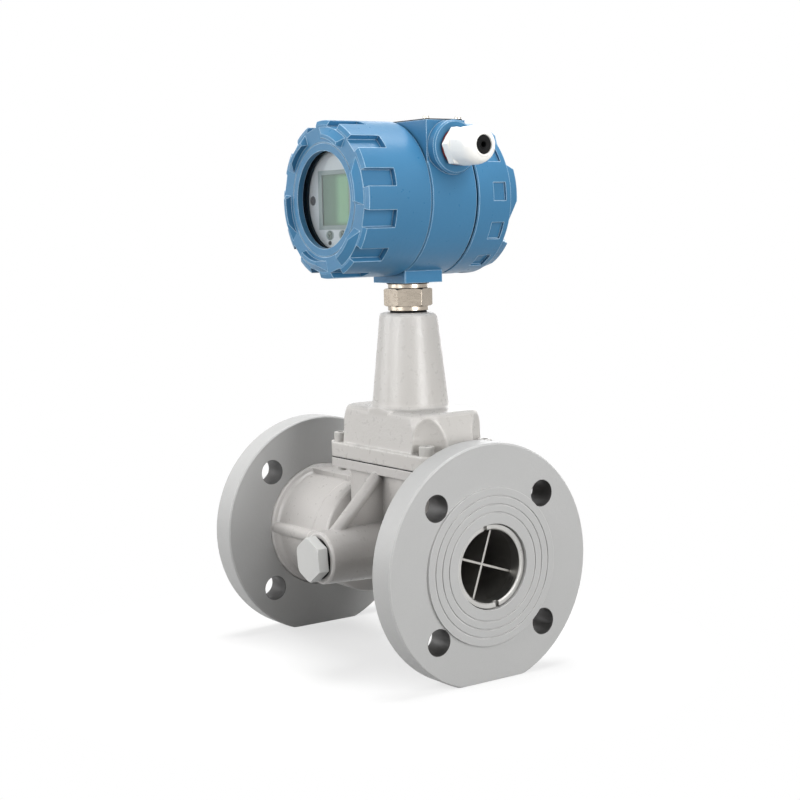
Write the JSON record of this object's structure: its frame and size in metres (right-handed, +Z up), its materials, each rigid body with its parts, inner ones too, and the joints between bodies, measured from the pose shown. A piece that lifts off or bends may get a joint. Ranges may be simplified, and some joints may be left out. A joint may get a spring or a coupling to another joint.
{
  "type": "swirl flow meter",
  "caption": "Flanged inline gas flow meter with a swirler, crossed straightening vanes and a cone neck that carries a turning round electronics housing with screwed covers.",
  "frame": {"origin": "centre of the inlet raised face, 2 mm in front of the plane where the bolt holes start", "axes": "+X along the flow to the outlet, +Z up along the neck, -Y is the display side"},
  "size_m": [0.23, 0.1706, 0.3754],
  "materials": {
    "cast_grey": "satin",
    "machined": "fine turned",
    "vane": "satin",
    "bolt": "satin",
    "nickel": "satin nickel",
    "rubber_black": "matte",
    "blue_paint": "semi-gloss",
    "white_plastic": "gloss",
    "red_rubber": "matte",
    "glass": "clear",
    "black_ring": "matte",
    "display_plastic": "matte",
    "face_plate": "brushed",
    "screen": "gloss",
    "key_plastic": "matte",
    "board": "lacquered",
    "brass": "satin",
    "grey_plastic": "matte"
  },
  "bodies": {
    "meter": {"meter_body": "cast_grey", "inlet_flange": "cast_grey", "outlet_flange": "cast_grey", "inlet_barrel": "cast_grey", "outlet_barrel": "cast_grey", "inlet_ring_nut": "machined", "inlet_swirler": "vane", "flow_straightener": "vane", "outlet_ring_nut": "machined", "boss_plug": "cast_grey", "boss_washer": "machined", "sensor_probe": "machined", "bonnet_gasket": "rubber_black", "bonnet": "cast_grey", "bonnet_screws": "bolt", "neck_seal": "rubber_black", "neck_nipple": "nickel", "union_nut": "nickel", "spigot_clip": "bolt"},
    "housing": {"swivel_bush": "nickel", "housing_body": "blue_paint", "housing_front_neck": "blue_paint", "housing_rear_neck": "blue_paint", "top_plate": "black_ring", "top_plate_screws": "bolt", "display_carrier": "display_plastic", "display_face_plate": "face_plate", "display_bezel": "display_plastic", "display_screen": "screen", "display_screws": "bolt", "display_posts": "brass", "main_board": "board", "terminal_block": "grey_plastic", "terminal_screws": "brass", "gland_seal_ring": "red_rubber", "gland_body": "white_plastic", "blanking_plug": "white_plastic", "blanking_seal": "red_rubber"},
    "front_seal": {"front_cover_seal": "rubber_black"},
    "front_cover": {"front_cover": "blue_paint", "window_gasket": "rubber_black", "window_glass": "glass", "window_ring": "black_ring"},
    "rear_seal": {"rear_cover_seal": "rubber_black"},
    "rear_cover": {"rear_cover": "blue_paint"},
    "gland_insert": {"gland_insert": "rubber_black"},
    "gland_cap": {"gland_cap": "white_plastic"},
    "key_1": {"key_1": "key_plastic"},
    "key_2": {"key_2": "key_plastic"}
  },
  "joints": [
    {"name": "housing_swivel", "type": "hinge", "parent": "meter", "child": "housing", "pos_m": [0.14, 0, 0.19], "axis": [0, 0, 1], "range_deg": [-175, 175]},
    {"name": "front_cover_travel", "type": "slide", "parent": "housing", "child": "front_seal", "axis": [0, -1, 0], "range_m": [0, 0.016]},
    {"name": "front_cover_turn", "type": "hinge", "parent": "front_seal", "child": "front_cover", "pos_m": [0.14, -0.04, 0.244], "axis": [0, -1, 0], "range_deg": [0, 2880]},
    {"name": "rear_cover_travel", "type": "slide", "parent": "housing", "child": "rear_seal", "axis": [0, 1, 0], "range_m": [0, 0.014]},
    {"name": "rear_cover_turn", "type": "hinge", "parent": "rear_seal", "child": "rear_cover", "pos_m": [0.14, 0.04, 0.244], "axis": [0, 1, 0], "range_deg": [0, 2520]},
    {"name": "gland_cap_travel", "type": "slide", "parent": "housing", "child": "gland_insert", "axis": [1, 0, 0], "range_m": [0, 0.006]},
    {"name": "gland_cap_turn", "type": "hinge", "parent": "gland_insert", "child": "gland_cap", "pos_m": [0.21, 0.00275, 0.277], "axis": [1, 0, 0], "range_deg": [0, 1440]},
    {"name": "key_1_press", "type": "slide", "parent": "housing", "child": "key_1", "axis": [0, 1, 0], "range_m": [0, 0.0008], "stiffness_N_per_m": 400},
    {"name": "key_2_press", "type": "slide", "parent": "housing", "child": "key_2", "axis": [0, 1, 0], "range_m": [0, 0.0008], "stiffness_N_per_m": 400}
  ],
  "couplings": [
    {"joint": "front_cover_travel", "follows": "front_cover_turn", "m_per_rad": 0.0003183},
    {"joint": "rear_cover_travel", "follows": "rear_cover_turn", "m_per_rad": 0.0003183},
    {"joint": "gland_cap_travel", "follows": "gland_cap_turn", "m_per_rad": 0.0002387}
  ]
}
